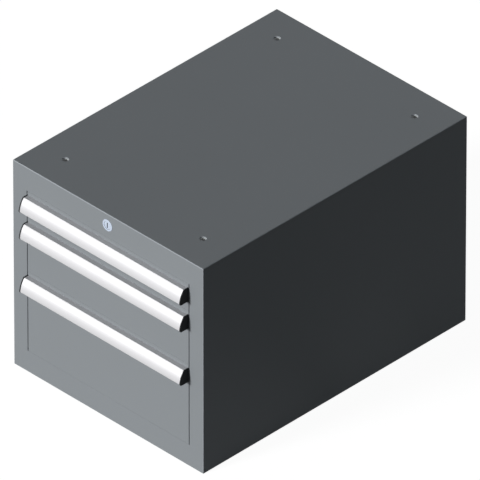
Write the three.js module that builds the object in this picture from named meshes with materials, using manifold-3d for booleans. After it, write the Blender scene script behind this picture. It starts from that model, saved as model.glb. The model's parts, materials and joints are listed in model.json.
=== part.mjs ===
// Under-bench drawer unit: a sheet-steel housing with three drawers on full-extension roller carriages,
// aluminium handle bars with plastic end caps, and a central lock that lifts a locking yoke.
// Millimetres. X runs to the right, Y to the back and Z up; the origin is the centre of the underside.
import * as THREE from 'three';
import { mergeVertices } from 'three/addons/utils/BufferGeometryUtils.js';
import Module from 'manifold-3d';

const wasm = await Module();
wasm.setup();

// Housing
const HOUSING_WIDTH = 411;
const HOUSING_DEPTH = 572;
const HOUSING_HEIGHT = 383;
const HOUSING_SHEET = 1.5;
const STILE_WIDTH = 30;
const PLINTH_HEIGHT = 40;
const HEAD_HEIGHT = 42.85; // the rail above the drawers
const EDGE_RADIUS = 1.3; // round the front and round the back
const CORNER_RADIUS = 1.4; // along the sides of the top and of the base
const WELD_FLANGE_WIDTH = 12;
const FRAME_RIM_DEPTH = 14;
const FRAME_RETURN_GAP = 2.6; // in front of the locking yoke

// Drawn collars in the top, for hanging the unit under a worktop
const COLLAR_BORE = 10.4;
const COLLAR_WALL = 2.5;
const COLLAR_DEPTH = 10;
const COLLAR_ENTRY = 0.5; // radius where the sheet turns down into the collar
const COLLAR_INSET_X = 57; // from the side faces
const COLLAR_INSET_Y = 57; // from the front and back faces

// Drawers: the bottom one takes the height that the others leave
const TOP_PITCH = 50;
const MIDDLE_PITCH = 100;
const TRAVEL_LOSS = 1; // the drawer's travel is this much less than its tray's depth

// Drawer fronts: folded pans
const FRONT_GAP = 0.15; // above and below each front
const FRONT_SIDE_GAP = 1.2;
const FRONT_SHEET = 1.25;
const FRONT_DEPTH = 18;
const FRONT_LIP = 12;
const FRONT_RADIUS = 1.2; // upright edges of the fronts and of the frame's opening

// Drawer trays
const TRAY_SHEET = 1;
const TRAY_CORNER_RADIUS = 3;
const TRAY_LIFT = 3; // the tray's underside above the front's lower edge
const TRAY_TOP_DROP = 7; // the tray's rim below the next front
const TRAY_REAR_ROOM = 93; // from the tray's rear wall to the back of the housing
const TRAY_RIM_WIDTH = 4;

// Runners: two facing channels with a carriage bar between them
const RUNNER_SHEET = 1.5;
const RUNNER_LIFT = 1.2; // above the tray's underside
const ROLLER_RADIUS = 8;
const ROLLER_PLAY = 0.3; // between a tread and the channel's flanges, and round an axle
const OUTER_TREAD = 6.6;
const INNER_TREAD = 7;
const AXLE_RADIUS = 3;
const TREAD_GAP = 0.7; // between a tread and the channel's web
const BAR_THICKNESS = 2.5;
const BAR_HEIGHT = 15;
const BAR_GAP = 1; // between the bar and the treads
const OPENING_CLEARANCE = 1.3; // between the outer treads and the frame's opening
const CABINET_RAIL_GAP = 2.4; // behind the locking yoke
const CABINET_RAIL_REAR = 18; // in front of the back face
const BAR_END = 11; // from the end rollers to the ends of the bar
const FRONT_ROLLER_INSET = 19; // behind the front end of the cabinet rail
const MIDDLE_ROLLER_SEAT = 7; // inside the cabinet rail with the drawer open
const REAR_ROLLER_INSET = 33; // in front of the rear end of the cabinet rail
const DRAWER_RAIL_OVERLAP = 14; // behind the middle roller with the drawer open
const BRACKET_LENGTH = 30;
const BRACKET_SHEET = 2;
const BRACKET_ARM_INSET = 1.8; // inside the channel's flanges
const BRACKET_FOOT = 10;
const BRACKET_HOLE = 5;
const BRACKET_INSET_FRONT = 34; // bracket centre behind the front end of the rail
const BRACKET_INSET_REAR = 53;

// Handle bars: the section runs out from the front and down from the bar's top
const HANDLE_DROP = 7.2; // below the front's upper edge
const HANDLE_WALL = 2;
const HANDLE_TOP_DEPTH = 9;
const HANDLE_REACH = 18; // out from the front
const HANDLE_LIP_RADIUS = 3;
const HANDLE_LIP_DROP = 21.3; // the lip's centre below the bar's top
const HANDLE_LIP_START = 0.14; // radians above the level where the face runs into the lip
const HANDLE_LIP_TURN = 1.3; // radians that the lip curls in
const HANDLE_FLANGE = 11;
const CAP_THICKNESS = 1.8;
const CAP_PROUD = 0.5;
const CAP_PEG = 5;
const CAP_PEG_LENGTH = 10;
const CAP_PEG_GAP = 0.3;

// Central lock
const LOCK_RISE = 0.925; // above the middle of the head
const LOCK_FACE_LIP = 1.2;
const LOCK_FACE_THICKNESS = 0.8;
const LOCK_FACE_CHAMFER = 0.3;
const LOCK_BARREL_RADIUS = 9;
const LOCK_LENGTH = 18; // behind the front face
const LOCK_GAP = 0.3;
const LOCK_WALL = 2;
const PLUG_RECESS = 0.4;
const KEY_SLOT_WIDTH = 2.2;
const KEY_SLOT_HEIGHT = 9.6;
const KEY_SLOT_DEPTH = 9;
const TAIL_SIZE = 6;
const TAIL_HEAD_RADIUS = 4.4;
const TAIL_HEAD_THICKNESS = 1;
const NUT_WALL = 3.2; // at the flats
const NUT_THICKNESS = 4;
const CAM_GAP = 0.5; // behind the barrel
const CAM_THICKNESS = 2;
const CAM_HUB_RADIUS = 7.5;
const CRANK = 7; // from the lock's axis to the crank pin
const CRANK_EYE_RADIUS = 4;
const CRANK_PIN_RADIUS = 2.25;
const COUNTER_RADIUS = 5.6; // the lobe that balances the crank
const COUNTER_OFFSET = 7.5;
const CRANK_PIN_END = 1; // behind the yoke
const LOCK_TURN = Math.PI / 2; // the key turns clockwise to lock

// Locking yoke: one sheet behind the frame, lifted by the crank pin
const YOKE_SHEET = 2;
const YOKE_GAP = 1.1; // behind the plug's tail
const YOKE_BAR_HEIGHT = 16;
const YOKE_LEG_WIDTH = 12;
const YOKE_LEG_INSET = 2.5; // outside the opening
const YOKE_LEG_FOOT = 12; // above the lowest front's lower edge
const FINGER_REACH = 8.5;
const FINGER_HEIGHT = 6;
const FINGER_GAP = 1.5; // above the rollers and below the ears, unlocked
const SLOT_PLAY = 0.55;
const EAR_REAR_WALL = 7.4;
const EAR_TOP_WALL = 4;
const NOTCH_PLAY = 1; // before and behind the finger
const NOTCH_HEADROOM = 1.6; // above the locked finger
const GUIDE_HEIGHT = 16;
const GUIDE_SHEET = 1.6;
const GUIDE_PLAY = 0.4;
const GUIDE_GRIP = 5; // how far the guide reaches over the leg
const GUIDE_FOOT = 7;
const GUIDE_LOW = 40; // above the lowest front's lower edge
const GUIDE_HIGH = 33; // above the highest front's lower edge

const ROUND_SEGMENTS = 20;
const FINE_SEGMENTS = 32;
const SMALL_SEGMENTS = 12;
const CURVE_SEGMENTS = 4; // in a quarter turn
const HANDLE_SEGMENTS = 12;
const LIP_SEGMENTS = 6;

// Derived places
const HALF_WIDTH = HOUSING_WIDTH / 2;
const FRONT_Y = -HOUSING_DEPTH / 2;
const BACK_Y = HOUSING_DEPTH / 2;
const FACE_BACK_Y = FRONT_Y + HOUSING_SHEET;
const REAR_SHEET_Y = BACK_Y - HOUSING_SHEET;
const WALL_X = HALF_WIDTH - HOUSING_SHEET;
const OPENING_X = HALF_WIDTH - STILE_WIDTH;
const OPENING_TOP = HOUSING_HEIGHT - HEAD_HEIGHT;
const DRAWERS = [
  { name: 'bottom', pitch: OPENING_TOP - PLINTH_HEIGHT - FRONT_GAP - TOP_PITCH - MIDDLE_PITCH },
  { name: 'middle', pitch: MIDDLE_PITCH },
  { name: 'top', pitch: TOP_PITCH },
];
const FRONT_X = OPENING_X - FRONT_SIDE_GAP;
const FRONT_REAR_Y = FRONT_Y + FRONT_DEPTH;

// Runner stack, from the frame's opening inwards
const OUTER_TREAD_X = OPENING_X - OPENING_CLEARANCE;
const CABINET_WEB_X = OUTER_TREAD_X + TREAD_GAP;
const BAR_OUTER_X = OUTER_TREAD_X - OUTER_TREAD - BAR_GAP;
const BAR_INNER_X = BAR_OUTER_X - BAR_THICKNESS;
const INNER_TREAD_X = BAR_INNER_X - BAR_GAP;
const DRAWER_WEB_X = INNER_TREAD_X - INNER_TREAD - TREAD_GAP;
const TRAY_X = DRAWER_WEB_X - RUNNER_SHEET;

const LOCK_Z = (OPENING_TOP + HOUSING_HEIGHT) / 2 + LOCK_RISE;
const LOCK_FACE_RADIUS = LOCK_BARREL_RADIUS + LOCK_FACE_LIP;
const LOCK_FACE_Y = FRONT_Y - LOCK_FACE_THICKNESS;
const PLUG_RADIUS = LOCK_BARREL_RADIUS - LOCK_WALL - LOCK_GAP;
const NUT_FLAT_RADIUS = LOCK_BARREL_RADIUS + NUT_WALL;
const BARREL_REAR_Y = FRONT_Y + LOCK_LENGTH;
const CAM_Y = BARREL_REAR_Y + CAM_GAP;
const CRANK_ANGLE = Math.PI + LOCK_TURN / 2; // unlocked: down and to the left
const CRANK_X = CRANK * Math.cos(CRANK_ANGLE);
const CRANK_Z = LOCK_Z + CRANK * Math.sin(CRANK_ANGLE);
const YOKE_LIFT = 2 * CRANK * Math.sin(LOCK_TURN / 2);
const YOKE_Y = CAM_Y + CAM_THICKNESS + TAIL_HEAD_THICKNESS + YOKE_GAP;
const YOKE_LEG_X = OPENING_X + YOKE_LEG_INSET;
const YOKE_X = YOKE_LEG_X + YOKE_LEG_WIDTH;
const RETURN_REAR_Y = YOKE_Y - FRAME_RETURN_GAP;

const TRAY_REAR_Y = BACK_Y - TRAY_REAR_ROOM;
const DRAWER_TRAVEL = TRAY_REAR_Y - FRONT_REAR_Y - TRAVEL_LOSS;
const CHANNEL_HALF = ROLLER_RADIUS + ROLLER_PLAY;
const RUNNER_HEIGHT = TRAY_LIFT + RUNNER_LIFT + RUNNER_SHEET + CHANNEL_HALF;
const BRACKET_ARM_SPREAD = CHANNEL_HALF + RUNNER_SHEET - BRACKET_ARM_INSET;
const CABINET_RAIL_FRONT_Y = YOKE_Y + YOKE_SHEET + CABINET_RAIL_GAP;
const CABINET_RAIL_REAR_Y = BACK_Y - CABINET_RAIL_REAR;
const ROLLER_Y = {
  front: CABINET_RAIL_FRONT_Y + FRONT_ROLLER_INSET,
  middle: CABINET_RAIL_FRONT_Y + DRAWER_TRAVEL / 2 + MIDDLE_ROLLER_SEAT,
  rear: CABINET_RAIL_REAR_Y - REAR_ROLLER_INSET,
};
const DRAWER_RAIL_REAR_Y = ROLLER_Y.middle + DRAWER_TRAVEL / 2 + DRAWER_RAIL_OVERLAP;

// Heights above a front's lower edge
const FINGER_LIFT = RUNNER_HEIGHT + ROLLER_RADIUS + FINGER_GAP;
const EAR_BOTTOM = FINGER_LIFT + FINGER_HEIGHT + FINGER_GAP;
const NOTCH_TOP = FINGER_LIFT + FINGER_HEIGHT + YOKE_LIFT + NOTCH_HEADROOM;
const EAR_TOP = NOTCH_TOP + EAR_TOP_WALL;

// The height of a front's lower edge
function drawerBase(index) {
  const below = DRAWERS.slice(0, index).reduce((sum, drawer) => sum + drawer.pitch, 0);
  return PLINTH_HEIGHT + FRONT_GAP + below;
}

function frontHeight(pitch) {
  return pitch - FRONT_GAP;
}

// Solids

function solid(geometry) {
  geometry.deleteAttribute('normal');
  geometry.deleteAttribute('uv');
  const merged = mergeVertices(geometry, 1e-4);
  return new wasm.Manifold(new wasm.Mesh({
    numProp: 3,
    vertProperties: new Float32Array(merged.attributes.position.array),
    triVerts: new Uint32Array(merged.index.array),
  }));
}

function geometryOf(manifold) {
  const mesh = manifold.getMesh();
  const positions = new Float32Array(mesh.numVert * 3);
  for (let i = 0; i < mesh.numVert; i += 1) {
    positions.set(mesh.vertProperties.subarray(i * mesh.numProp, i * mesh.numProp + 3), i * 3);
  }
  const indexed = new THREE.BufferGeometry();
  indexed.setAttribute('position', new THREE.BufferAttribute(positions, 3));
  indexed.setIndex(new THREE.BufferAttribute(new Uint32Array(mesh.triVerts), 1));
  const flat = indexed.toNonIndexed();
  flat.computeVertexNormals();
  return flat;
}

function polygon(points) {
  return new THREE.Shape(points.map(([x, y]) => new THREE.Vector2(x, y)));
}

function rectangle(left, right, bottom, top) {
  return polygon([[left, bottom], [right, bottom], [right, top], [left, top]]);
}

// Points on an arc, from one angle to another
function arc(x, y, radius, from, to, steps) {
  const points = [];
  for (let i = 0; i <= steps; i += 1) {
    const angle = from + ((to - from) * i) / steps;
    points.push([x + radius * Math.cos(angle), y + radius * Math.sin(angle)]);
  }
  return points;
}

function roundedRectangle(left, right, bottom, top, radius) {
  const quarter = Math.PI / 2;
  const corner = (x, y, turn) => arc(x, y, radius, turn * quarter, (turn + 1) * quarter, CURVE_SEGMENTS);
  return polygon([
    ...corner(right - radius, top - radius, 0),
    ...corner(left + radius, top - radius, 1),
    ...corner(left + radius, bottom + radius, 2),
    ...corner(right - radius, bottom + radius, 3),
  ]);
}

function circle(x, y, radius, segments = ROUND_SEGMENTS) {
  return polygon(arc(x, y, radius, 0, 2 * Math.PI, segments).slice(0, -1));
}

function withHoles(shape, ...holes) {
  shape.holes.push(...holes);
  return shape;
}

// The plane across each axis: a shape's two directions, and its extrusion along the axis
const ACROSS = {
  x: new THREE.Matrix4().makeBasis(
    new THREE.Vector3(0, 1, 0), new THREE.Vector3(0, 0, 1), new THREE.Vector3(1, 0, 0)),
  y: new THREE.Matrix4().makeBasis(
    new THREE.Vector3(1, 0, 0), new THREE.Vector3(0, 0, 1), new THREE.Vector3(0, -1, 0)),
  z: new THREE.Matrix4(),
};

// A shape extruded along an axis, from one place to another
function extrude(axis, shape, from, to, bevel = {}) {
  const geometry = new THREE.ExtrudeGeometry(shape, {
    depth: to - from,
    steps: 1,
    bevelEnabled: false,
    ...bevel,
  });
  geometry.applyMatrix4(ACROSS[axis]);
  geometry.translate(axis === 'x' ? from : 0, axis === 'y' ? to : 0, axis === 'z' ? from : 0);
  return solid(geometry);
}

// A plate across Y whose front edges are rounded
function roundedPlate(shape, front, back, radius) {
  const bevel = {
    bevelEnabled: true,
    bevelThickness: radius,
    bevelSize: radius,
    bevelOffset: -radius,
    bevelSegments: 3,
  };
  const full = extrude('y', shape, front + radius, back + radius, bevel);
  const reach = 2 * (HOUSING_WIDTH + HOUSING_HEIGHT);
  return full.subtract(extrude('y', rectangle(-reach, reach, -reach, reach), back, back + 3 * radius));
}

// A closed section turned about the Y axis, from [radius, y] pairs in the order of rising y outside
function turned(profile, segments) {
  const points = profile.map(([radius, y]) => new THREE.Vector2(radius, y));
  return solid(new THREE.LatheGeometry(points, segments));
}

// The same piece on the other side
function mirrored(manifold) {
  return manifold.mirror([1, 0, 0]);
}

// Materials

function paintedSteel() {
  return new THREE.MeshStandardMaterial({ color: 0xa0a3a6, roughness: 0.55, metalness: 0 });
}

function zincSteel() {
  return new THREE.MeshStandardMaterial({ color: 0xb9bcbe, roughness: 0.4, metalness: 0.9 });
}

function aluminium() {
  return new THREE.MeshStandardMaterial({ color: 0xf1f1f3, roughness: 0.45, metalness: 0.1 });
}

function blackPlastic() {
  return new THREE.MeshStandardMaterial({ color: 0x151718, roughness: 0.5, metalness: 0 });
}

function palePlastic() {
  return new THREE.MeshStandardMaterial({ color: 0xe6e4dc, roughness: 0.5, metalness: 0 });
}

function chrome() {
  return new THREE.MeshStandardMaterial({ color: 0xcfd9e6, roughness: 0.25, metalness: 0.9 });
}

function piece(name, manifold, material) {
  const mesh = new THREE.Mesh(geometryOf(manifold), material);
  mesh.name = name;
  return mesh;
}

// Housing

function housingOutline() {
  return roundedRectangle(-HALF_WIDTH, HALF_WIDTH, 0, HOUSING_HEIGHT, CORNER_RADIUS);
}

// An outline in plan whose front corners, at the front face, are rounded, or flared where flare is true
function frontPlan(halfWidth, rear, flare) {
  const quarter = Math.PI / 2;
  const y = FRONT_Y + FRONT_RADIUS;
  const turned = flare
    ? arc(halfWidth + FRONT_RADIUS, y, FRONT_RADIUS, 2 * quarter, 3 * quarter, CURVE_SEGMENTS)
    : arc(halfWidth - FRONT_RADIUS, y, FRONT_RADIUS, 0, -quarter, CURVE_SEGMENTS);
  const right = [[halfWidth, rear], ...turned];
  const left = right.map(([x, along]) => [-x, along]).reverse();
  return polygon([...right, ...left]);
}

function frontFrame() {
  const opening = () => rectangle(-OPENING_X, OPENING_X, PLINTH_HEIGHT, OPENING_TOP);
  const outline = (inset) => rectangle(
    -HALF_WIDTH + inset, HALF_WIDTH - inset, inset, HOUSING_HEIGHT - inset);
  const flared = frontPlan(OPENING_X, FACE_BACK_Y + HOUSING_SHEET, true);
  const cutter = extrude('z', flared, PLINTH_HEIGHT, OPENING_TOP);
  const face = roundedPlate(housingOutline(), FRONT_Y, FACE_BACK_Y, EDGE_RADIUS).subtract(cutter);
  const rim = extrude('y', withHoles(outline(HOUSING_SHEET), outline(2 * HOUSING_SHEET)),
    FACE_BACK_Y, FACE_BACK_Y + FRAME_RIM_DEPTH);
  const returnOutline = rectangle(-OPENING_X - HOUSING_SHEET, OPENING_X + HOUSING_SHEET,
    PLINTH_HEIGHT - HOUSING_SHEET, OPENING_TOP + HOUSING_SHEET);
  const returns = extrude('y', withHoles(returnOutline, opening()),
    FACE_BACK_Y, RETURN_REAR_Y);
  const lockHole = extrude('y', circle(0, LOCK_Z, LOCK_BARREL_RADIUS + LOCK_GAP, FINE_SEGMENTS),
    FRONT_Y - HOUSING_SHEET, FACE_BACK_Y + HOUSING_SHEET);
  return face.add(rim).add(returns).subtract(lockHole);
}

// The right side: a web with flanges under the top, over the base and along the back
function sidePanel() {
  const low = HOUSING_SHEET;
  const high = HOUSING_HEIGHT - HOUSING_SHEET;
  const flangeX = WALL_X - WELD_FLANGE_WIDTH;
  const web = extrude('y', rectangle(WALL_X, HALF_WIDTH, low, high), FACE_BACK_Y, REAR_SHEET_Y);
  const channel = polygon([
    [flangeX, low],
    [HALF_WIDTH, low],
    [HALF_WIDTH, high],
    [flangeX, high],
    [flangeX, high - HOUSING_SHEET],
    [WALL_X, high - HOUSING_SHEET],
    [WALL_X, low + HOUSING_SHEET],
    [flangeX, low + HOUSING_SHEET],
  ]);
  const flanges = extrude('y', channel, FACE_BACK_Y + FRAME_RIM_DEPTH + HOUSING_SHEET, REAR_SHEET_Y);
  const rear = extrude('y', rectangle(flangeX, HALF_WIDTH, low, high),
    REAR_SHEET_Y - HOUSING_SHEET, REAR_SHEET_Y);
  return web.add(flanges).add(rear);
}

function collarPlaces() {
  const x = HALF_WIDTH - COLLAR_INSET_X;
  const y = BACK_Y - COLLAR_INSET_Y;
  return [[-x, -y], [x, -y], [-x, y], [x, y]];
}

// A sheet across the housing, at z = 0 inside, whose outer side edges are rounded
function coverSheet() {
  const quarter = Math.PI / 2;
  const corner = HALF_WIDTH - CORNER_RADIUS;
  const rise = HOUSING_SHEET - CORNER_RADIUS;
  const section = [
    [-HALF_WIDTH, 0],
    [HALF_WIDTH, 0],
    ...arc(corner, rise, CORNER_RADIUS, 0, quarter, CURVE_SEGMENTS),
    ...arc(-corner, rise, CORNER_RADIUS, quarter, 2 * quarter, CURVE_SEGMENTS),
  ];
  return extrude('y', polygon(section), FACE_BACK_Y, REAR_SHEET_Y);
}

// A collar drawn down from the sheet, about the Z axis, with the sheet's outer face at z = 0
function collar() {
  const bore = COLLAR_BORE / 2;
  const bottom = -HOUSING_SHEET - COLLAR_DEPTH;
  const entry = arc(bore + COLLAR_ENTRY, -COLLAR_ENTRY, COLLAR_ENTRY, Math.PI / 2, Math.PI, CURVE_SEGMENTS);
  return turned([
    [bore, bottom],
    [bore + COLLAR_WALL, bottom],
    [bore + COLLAR_WALL, 0],
    ...entry,
    [bore, bottom],
  ], ROUND_SEGMENTS).rotate([90, 0, 0]);
}

function topPlate() {
  const mouth = COLLAR_BORE / 2 + COLLAR_ENTRY;
  let plate = coverSheet().translate([0, 0, HOUSING_HEIGHT - HOUSING_SHEET]);
  for (const [x, y] of collarPlaces()) {
    const hole = extrude('z', circle(x, y, mouth),
      HOUSING_HEIGHT - 2 * HOUSING_SHEET, HOUSING_HEIGHT + HOUSING_SHEET);
    plate = plate.subtract(hole).add(collar().translate([x, y, HOUSING_HEIGHT]));
  }
  return plate;
}

function basePlate() {
  return coverSheet().mirror([0, 0, 1]).translate([0, 0, HOUSING_SHEET]);
}

function backPanel() {
  return roundedPlate(housingOutline(), -BACK_Y, -REAR_SHEET_Y, EDGE_RADIUS).mirror([0, 1, 0]);
}

// Runners, about a centre line at z = 0, on the right side

// A channel section from its open edge to its web, which lies beyond webX
function channelShape(openX, webX) {
  const sheet = RUNNER_SHEET * Math.sign(webX - openX);
  const outer = CHANNEL_HALF + RUNNER_SHEET;
  const points = [
    [openX, -outer],
    [webX + sheet, -outer],
    [webX + sheet, outer],
    [openX, outer],
    [openX, CHANNEL_HALF],
    [webX, CHANNEL_HALF],
    [webX, -CHANNEL_HALF],
    [openX, -CHANNEL_HALF],
  ];
  return polygon(points);
}

// A standoff from the rail's web to the side panel: two arms, each with a foot and a screw hole
function railBracket(y) {
  const rootX = CABINET_WEB_X + RUNNER_SHEET;
  const arm = (sign) => polygon([
    [rootX, sign * (BRACKET_ARM_SPREAD - BRACKET_SHEET)],
    [WALL_X, sign * (BRACKET_ARM_SPREAD - BRACKET_SHEET)],
    [WALL_X, sign * (BRACKET_ARM_SPREAD + BRACKET_FOOT)],
    [WALL_X - BRACKET_SHEET, sign * (BRACKET_ARM_SPREAD + BRACKET_FOOT)],
    [WALL_X - BRACKET_SHEET, sign * BRACKET_ARM_SPREAD],
    [rootX, sign * BRACKET_ARM_SPREAD],
  ]);
  const screwHole = (sign) => extrude('x',
    circle(y, sign * (BRACKET_ARM_SPREAD + BRACKET_FOOT / 2), BRACKET_HOLE / 2, SMALL_SEGMENTS),
    WALL_X - 2 * BRACKET_SHEET, WALL_X + BRACKET_SHEET);
  const half = (sign) => extrude('y', arm(sign), y - BRACKET_LENGTH / 2, y + BRACKET_LENGTH / 2)
    .subtract(screwHole(sign));
  return half(1).add(half(-1));
}

function cabinetRail() {
  const openX = OUTER_TREAD_X - OUTER_TREAD;
  const halfHeight = CHANNEL_HALF + RUNNER_SHEET;
  const rail = extrude('y', channelShape(openX, CABINET_WEB_X), CABINET_RAIL_FRONT_Y, CABINET_RAIL_REAR_Y);
  const stop = extrude('y', rectangle(openX, CABINET_WEB_X + RUNNER_SHEET, -halfHeight, halfHeight),
    CABINET_RAIL_REAR_Y - RUNNER_SHEET, CABINET_RAIL_REAR_Y);
  return rail.add(stop)
    .add(railBracket(CABINET_RAIL_FRONT_Y + BRACKET_INSET_FRONT))
    .add(railBracket(CABINET_RAIL_REAR_Y - BRACKET_INSET_REAR));
}

function carriageBar() {
  const bar = roundedRectangle(ROLLER_Y.front - BAR_END, ROLLER_Y.rear + BAR_END,
    -BAR_HEIGHT / 2, BAR_HEIGHT / 2, BAR_HEIGHT / 4);
  const bores = Object.values(ROLLER_Y).map((y) => circle(y, 0, AXLE_RADIUS + ROLLER_PLAY));
  return extrude('x', withHoles(bar, ...bores), BAR_INNER_X, BAR_OUTER_X);
}

// One axle with a tread on each side of the carriage bar
function rollerPair(y) {
  const innerStart = INNER_TREAD_X - INNER_TREAD;
  const outerStart = OUTER_TREAD_X - OUTER_TREAD;
  return turned([
    [0, innerStart],
    [ROLLER_RADIUS, innerStart],
    [ROLLER_RADIUS, INNER_TREAD_X],
    [AXLE_RADIUS, INNER_TREAD_X],
    [AXLE_RADIUS, outerStart],
    [ROLLER_RADIUS, outerStart],
    [ROLLER_RADIUS, OUTER_TREAD_X],
    [0, OUTER_TREAD_X],
  ], ROUND_SEGMENTS).rotate([0, 0, -90]).translate([0, y, 0]);
}

// Drawers, about the lower edge of the front at z = 0

// The side return's ear behind the front: the yoke's finger rises into its notch
function lockEar() {
  const fingerFront = YOKE_Y - NOTCH_PLAY;
  const fingerRear = YOKE_Y + YOKE_SHEET + NOTCH_PLAY;
  const rear = fingerRear + EAR_REAR_WALL;
  return polygon([
    [FRONT_REAR_Y - FRONT_SHEET, EAR_BOTTOM],
    [fingerFront, EAR_BOTTOM],
    [fingerFront, NOTCH_TOP],
    [fingerRear, NOTCH_TOP],
    [fingerRear, EAR_BOTTOM],
    [rear, EAR_BOTTOM],
    [rear, EAR_TOP],
    [FRONT_REAR_Y - FRONT_SHEET, EAR_TOP],
  ]);
}

function drawerFront(pitch) {
  const height = frontHeight(pitch);
  const pan = extrude('z', frontPlan(FRONT_X, FRONT_REAR_Y, false), 0, height);
  const hollow = extrude('y',
    rectangle(-FRONT_X + FRONT_SHEET, FRONT_X - FRONT_SHEET, FRONT_SHEET, height - FRONT_SHEET),
    FRONT_Y + FRONT_SHEET, FRONT_REAR_Y - FRONT_SHEET);
  const window = extrude('y',
    rectangle(-FRONT_X + FRONT_LIP, FRONT_X - FRONT_LIP, FRONT_LIP, height - FRONT_LIP),
    FRONT_REAR_Y - 2 * FRONT_SHEET, FRONT_REAR_Y + FRONT_SHEET);
  const ear = extrude('x', lockEar(), FRONT_X - FRONT_SHEET, FRONT_X);
  return pan.subtract(hollow).subtract(window).add(ear).add(mirrored(ear));
}

// A tub with a rim along its sides and rear, and a runner channel on each side
function drawerTray(pitch) {
  const top = pitch - TRAY_TOP_DROP;
  const outline = (inset) => roundedRectangle(-TRAY_X + inset, TRAY_X - inset,
    FRONT_REAR_Y + inset, TRAY_REAR_Y - inset, TRAY_CORNER_RADIUS - inset);
  const tub = extrude('z', outline(0), TRAY_LIFT, top)
    .subtract(extrude('z', outline(TRAY_SHEET), TRAY_LIFT + TRAY_SHEET, top + TRAY_SHEET));
  const rimOutline = rectangle(-TRAY_X - TRAY_RIM_WIDTH, TRAY_X + TRAY_RIM_WIDTH,
    FRONT_REAR_Y, TRAY_REAR_Y + TRAY_RIM_WIDTH);
  const rim = extrude('z', withHoles(rimOutline, outline(TRAY_SHEET)), top - TRAY_SHEET, top);
  const channel = extrude('y', channelShape(BAR_INNER_X - TREAD_GAP, DRAWER_WEB_X),
    FRONT_REAR_Y, DRAWER_RAIL_REAR_Y).translate([0, 0, RUNNER_HEIGHT]);
  return tub.add(rim).add(channel).add(mirrored(channel));
}

// The handle's outer line, from the top edge over the face to the end of the lip, as [out, up] pairs. The
// face is the arc that starts at the top edge and runs into the lip without a kink.
function handleLine(offset, lipTurn) {
  const lipX = HANDLE_REACH - HANDLE_LIP_RADIUS;
  const cos = Math.cos(HANDLE_LIP_START);
  const sin = Math.sin(HANDLE_LIP_START);
  const across = lipX + HANDLE_LIP_RADIUS * cos - HANDLE_TOP_DEPTH;
  const down = HANDLE_LIP_RADIUS * sin - HANDLE_LIP_DROP;
  const radius = (across ** 2 + down ** 2) / (2 * (across * cos + down * sin));
  const faceX = HANDLE_TOP_DEPTH + across - radius * cos;
  const faceZ = down - radius * sin;
  const start = Math.asin((offset - faceZ) / (radius + offset));
  const face = arc(faceX, faceZ, radius + offset, start, HANDLE_LIP_START, HANDLE_SEGMENTS);
  const lipRadius = HANDLE_LIP_RADIUS + offset;
  const lip = arc(lipX, -HANDLE_LIP_DROP, lipRadius, HANDLE_LIP_START, -lipTurn, LIP_SEGMENTS);
  return [...face, ...lip.slice(1)];
}

// A section of [out, up] pairs placed below a front's upper edge and run along X
function handlePiece(section, pitch, from, to) {
  const top = frontHeight(pitch) - HANDLE_DROP;
  return extrude('x', polygon(section.map(([out, up]) => [FRONT_Y - out, top + up])), from, to);
}

function handleProfile(pitch) {
  const section = [
    [0, 0],
    ...handleLine(0, HANDLE_LIP_TURN),
    ...handleLine(-HANDLE_WALL, HANDLE_LIP_TURN).reverse(),
    [HANDLE_WALL, -HANDLE_WALL],
    [HANDLE_WALL, -HANDLE_FLANGE],
    [0, -HANDLE_FLANGE],
  ];
  return handlePiece(section, pitch, -FRONT_X + CAP_THICKNESS, FRONT_X - CAP_THICKNESS);
}

// The right end cap: a cheek round the section and a peg in the corner behind the top
function handleCap(pitch) {
  const outer = handleLine(CAP_PROUD, Math.PI / 2);
  const bottom = outer[outer.length - 1][1];
  const section = [[0, CAP_PROUD], ...outer, [0, bottom]];
  const cheek = handlePiece(section, pitch, FRONT_X - CAP_THICKNESS, FRONT_X);
  const near = HANDLE_WALL + CAP_PEG_GAP;
  const far = near + CAP_PEG;
  const peg = handlePiece([[near, -near], [far, -near], [far, -far], [near, -far]],
    pitch, FRONT_X - CAP_THICKNESS - CAP_PEG_LENGTH, FRONT_X - CAP_THICKNESS);
  return cheek.add(peg);
}

// Lock

function lockBody() {
  const bore = PLUG_RADIUS + LOCK_GAP;
  return turned([
    [bore, LOCK_FACE_Y],
    [LOCK_FACE_RADIUS - LOCK_FACE_CHAMFER, LOCK_FACE_Y],
    [LOCK_FACE_RADIUS, LOCK_FACE_Y + LOCK_FACE_CHAMFER],
    [LOCK_FACE_RADIUS, FRONT_Y],
    [LOCK_BARREL_RADIUS, FRONT_Y],
    [LOCK_BARREL_RADIUS, BARREL_REAR_Y],
    [bore, BARREL_REAR_Y],
    [bore, LOCK_FACE_Y],
  ], FINE_SEGMENTS).translate([0, 0, LOCK_Z]);
}

function lockPlug() {
  const camRearY = CAM_Y + CAM_THICKNESS;
  const plug = turned([
    [0, LOCK_FACE_Y + PLUG_RECESS],
    [PLUG_RADIUS, LOCK_FACE_Y + PLUG_RECESS],
    [PLUG_RADIUS, BARREL_REAR_Y],
    [0, BARREL_REAR_Y],
  ], FINE_SEGMENTS).translate([0, 0, LOCK_Z]);
  const slotX = KEY_SLOT_WIDTH / 2;
  const slotRise = KEY_SLOT_HEIGHT / 2;
  const slot = extrude('y', rectangle(-slotX, slotX, LOCK_Z - slotRise, LOCK_Z + slotRise),
    LOCK_FACE_Y - PLUG_RECESS, LOCK_FACE_Y + PLUG_RECESS + KEY_SLOT_DEPTH);
  const tail = extrude('y',
    rectangle(-TAIL_SIZE / 2, TAIL_SIZE / 2, LOCK_Z - TAIL_SIZE / 2, LOCK_Z + TAIL_SIZE / 2),
    BARREL_REAR_Y, camRearY);
  const head = extrude('y', circle(0, LOCK_Z, TAIL_HEAD_RADIUS), camRearY, camRearY + TAIL_HEAD_THICKNESS);
  return plug.subtract(slot).add(tail).add(head);
}

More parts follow.
